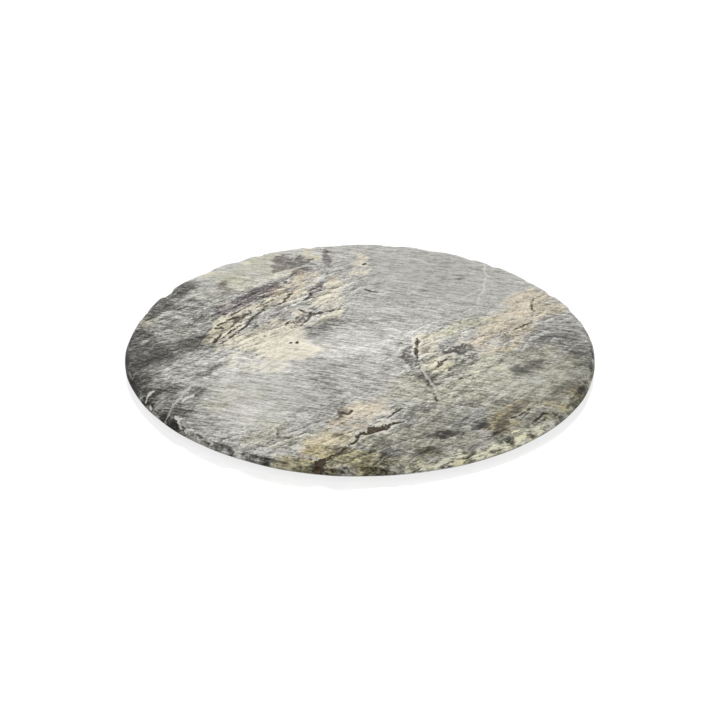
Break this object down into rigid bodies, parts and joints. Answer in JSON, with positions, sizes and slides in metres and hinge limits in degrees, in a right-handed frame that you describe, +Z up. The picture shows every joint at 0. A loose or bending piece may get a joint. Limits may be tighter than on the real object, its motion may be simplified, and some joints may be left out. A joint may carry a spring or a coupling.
{
  "type": "round stone serving board",
  "caption": "Round slab of split natural stone with a hewn, chipped rim, standing on stick-on rubber feet, for serving food.",
  "frame": {"origin": "on the table plane, under the middle of the board's outline", "axes": "+Z up, out of the serving face; the front of the board faces -Y; +X to the right seen from the front"},
  "size_m": [0.3282, 0.3318, 0.01],
  "materials": {
    "stone": "split face, satin sheen, hewn rim",
    "foot_rubber": "matte moulded",
    "adhesive": "satin foam tape"
  },
  "bodies": {
    "root": {"slab": "stone", "foot_front_left": "foot_rubber", "foot_front_right": "foot_rubber", "foot_back_left": "foot_rubber", "foot_back_right": "foot_rubber", "tape_front_left": "adhesive", "tape_front_right": "adhesive", "tape_back_left": "adhesive", "tape_back_right": "adhesive"}
  },
  "joints": []
}
